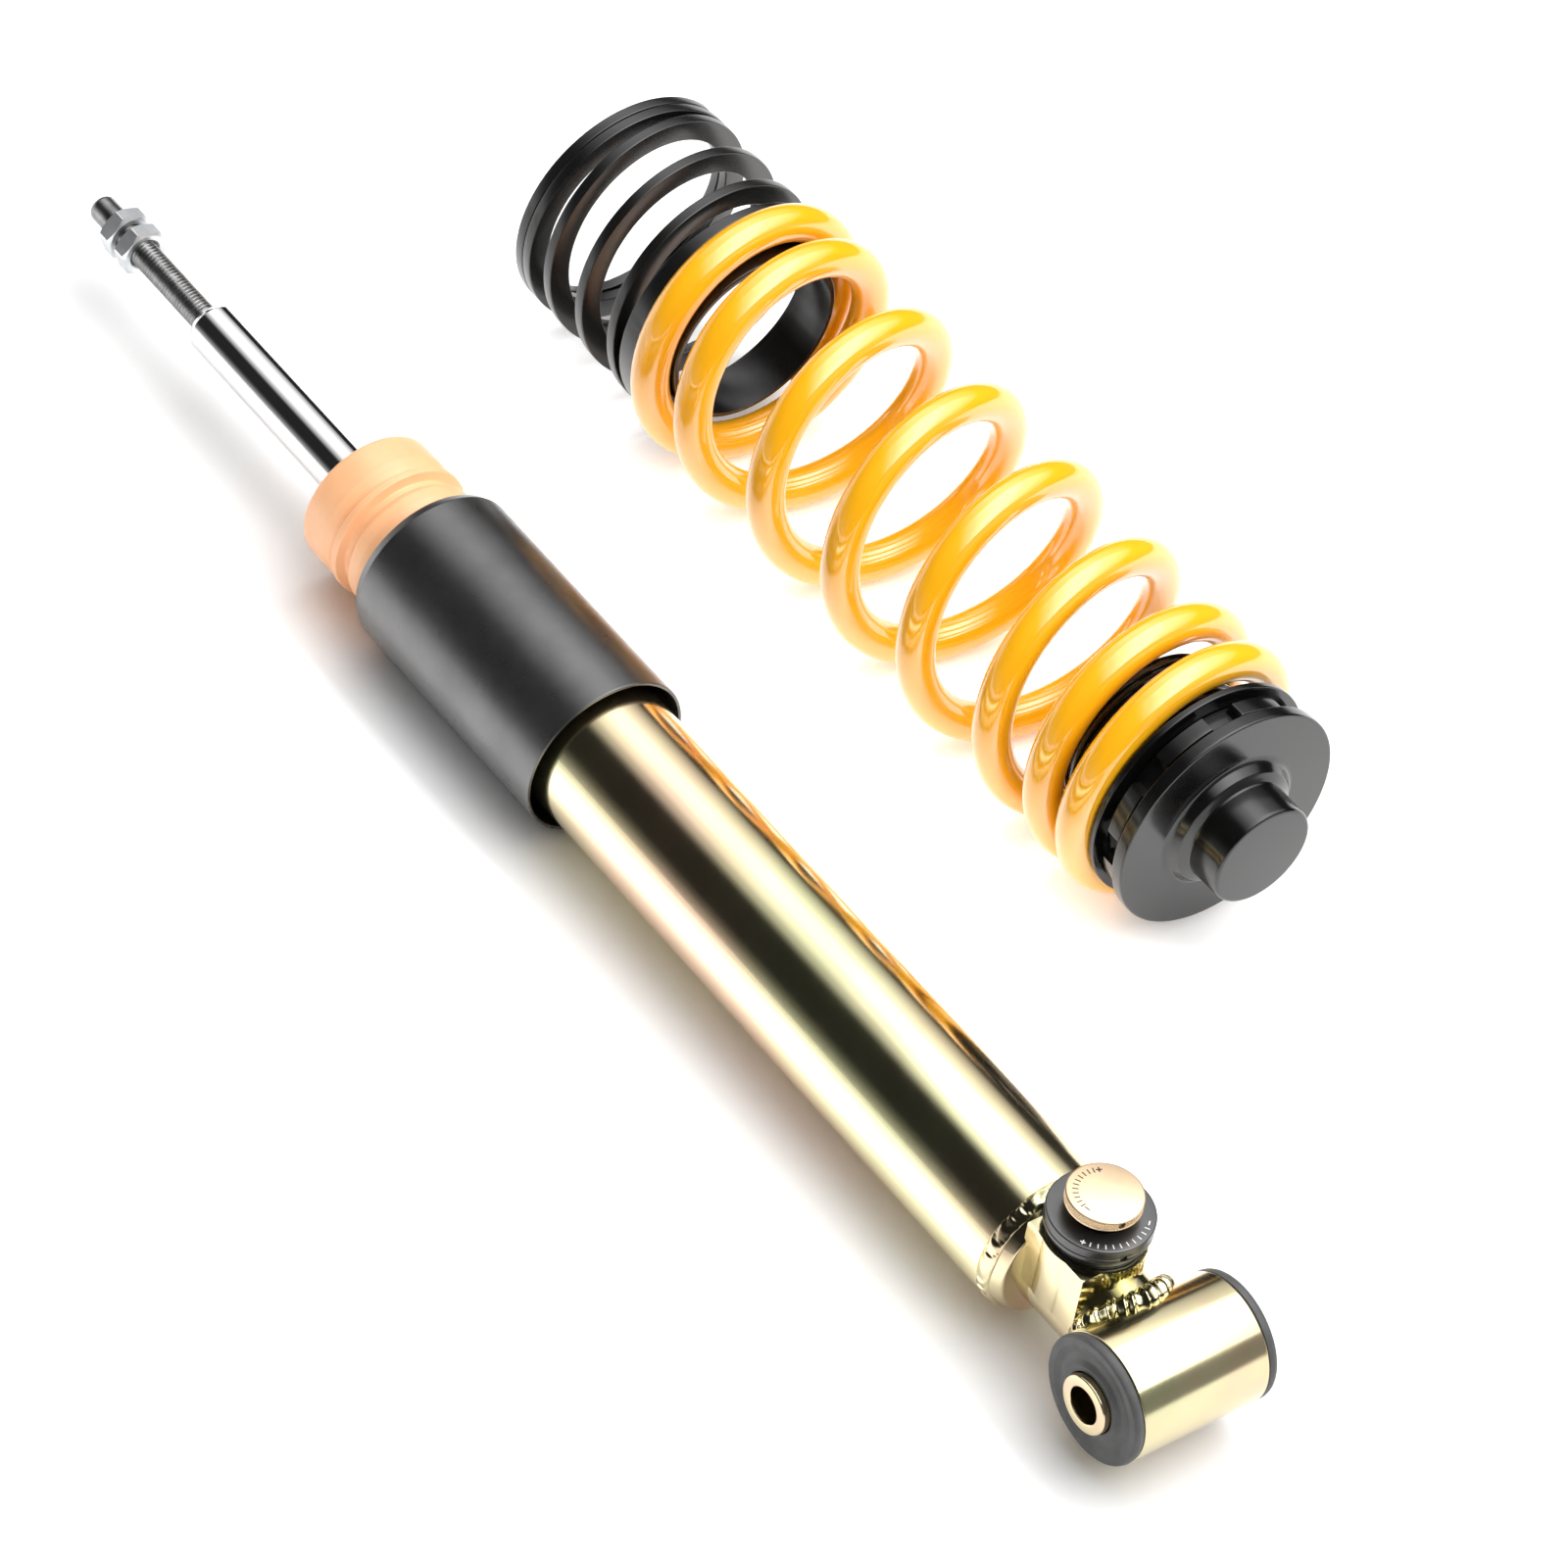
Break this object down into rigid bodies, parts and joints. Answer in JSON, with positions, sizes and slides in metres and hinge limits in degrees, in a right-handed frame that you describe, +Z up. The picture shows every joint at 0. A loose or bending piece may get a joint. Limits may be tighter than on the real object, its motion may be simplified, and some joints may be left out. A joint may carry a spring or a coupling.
{
  "type": "coilover",
  "caption": "Rear coilover kit as two assemblies: a damper with a rubber-bushed eye, bump stop and adjusters, and a spring unit with helper spring and height-adjustable perch.",
  "frame": {"origin": "middle of the laid-out kit, on the surface it lies on", "axes": "+X along both assemblies towards the damper's eye, +Y from the damper towards the spring unit and along the eye's bush, +Z up with the adjuster knobs"},
  "size_m": [0.6062, 0.2234, 0.0957],
  "materials": {
    "gold_zinc": "yellow chromate zinc plate, glossy",
    "chrome": "hard chrome, polished",
    "zinc": "bright zinc plate",
    "dark_steel": "phosphated",
    "black_anodised": "black anodised, satin",
    "black_plastic": "satin black",
    "spring_paint": "gloss yellow-orange enamel",
    "foam": "closed-cell polyurethane foam",
    "rubber": "matt"
  },
  "bodies": {
    "damper_body": {"damper_tube": "gold_zinc", "pressure_tube": "zinc", "base_valve": "dark_steel", "end_cap": "gold_zinc", "tube_weld": "gold_zinc", "valve_block": "gold_zinc", "eye_tube": "gold_zinc", "bush_outer_sleeve": "zinc", "bush_rubber": "rubber", "bush_inner_sleeve": "gold_zinc", "adjuster_housing": "black_anodised", "rod_guide": "dark_steel", "rod_seal": "rubber", "perch_base": "black_plastic"},
    "rod": {"piston_rod": "chrome", "rebound_stop": "rubber", "piston": "dark_steel", "piston_nut": "zinc", "lower_nut": "zinc", "upper_nut": "zinc"},
    "rebound_adjuster": {"rebound_adjuster_pin": "dark_steel"},
    "bump_stop_body": {"bump_stop": "foam", "dust_cover": "black_plastic"},
    "high_speed_adjuster": {"high_speed_ring": "black_anodised", "high_speed_set_screw": "dark_steel"},
    "low_speed_adjuster": {"low_speed_knob": "gold_zinc", "low_speed_set_screw": "dark_steel", "low_speed_spindle": "zinc"},
    "spring_seat": {"perch_ring": "black_plastic", "main_spring": "spring_paint"},
    "collar": {"perch_collar": "black_plastic"},
    "adapter": {"spring_adapter": "black_plastic"},
    "helper_top": {"helper_spring": "black_plastic"}
  },
  "joints": [
    {"name": "rod_stroke", "type": "slide", "parent": "damper_body", "child": "rod", "axis": [1, 0, 0], "range_m": [0, 0.085], "stiffness_N_per_m": 200, "springref_m": -0.15},
    {"name": "rebound_adjuster_turn", "type": "hinge", "parent": "rod", "child": "rebound_adjuster", "pos_m": [-0.3, -0.08153, 0.0296], "axis": [1, 0, 0], "range_deg": [0, 540]},
    {"name": "bump_stop_slide", "type": "slide", "parent": "damper_body", "child": "bump_stop_body", "axis": [-1, 0, 0], "range_m": [-0.0035, 0.035]},
    {"name": "high_speed_turn", "type": "hinge", "parent": "damper_body", "child": "high_speed_adjuster", "pos_m": [0.2437, -0.08153, 0.06], "axis": [0, 0, 1], "range_deg": [-280, 0]},
    {"name": "low_speed_turn", "type": "hinge", "parent": "damper_body", "child": "low_speed_adjuster", "pos_m": [0.2437, -0.08153, 0.06], "axis": [0, 0, 1], "range_deg": [-180, 0]},
    {"name": "perch_height", "type": "slide", "parent": "damper_body", "child": "spring_seat", "axis": [-1, 0, 0], "range_m": [0, 0.015]},
    {"name": "collar_turn", "type": "hinge", "parent": "spring_seat", "child": "collar", "pos_m": [0.12, 0.06388, 0.04785], "axis": [-1, 0, 0], "range_deg": [0, 1800]},
    {"name": "main_spring_travel", "type": "slide", "parent": "spring_seat", "child": "adapter", "axis": [1, 0, 0], "range_m": [0, 0.05], "stiffness_N_per_m": 80000, "deforming": ["main_spring"]},
    {"name": "helper_spring_travel", "type": "slide", "parent": "adapter", "child": "helper_top", "axis": [1, 0, 0], "range_m": [0, 0.036], "stiffness_N_per_m": 8000, "deforming": ["helper_spring"]}
  ],
  "couplings": [
    {"joint": "collar_turn", "follows": "perch_height", "rad_per_m": 2094.4}
  ]
}
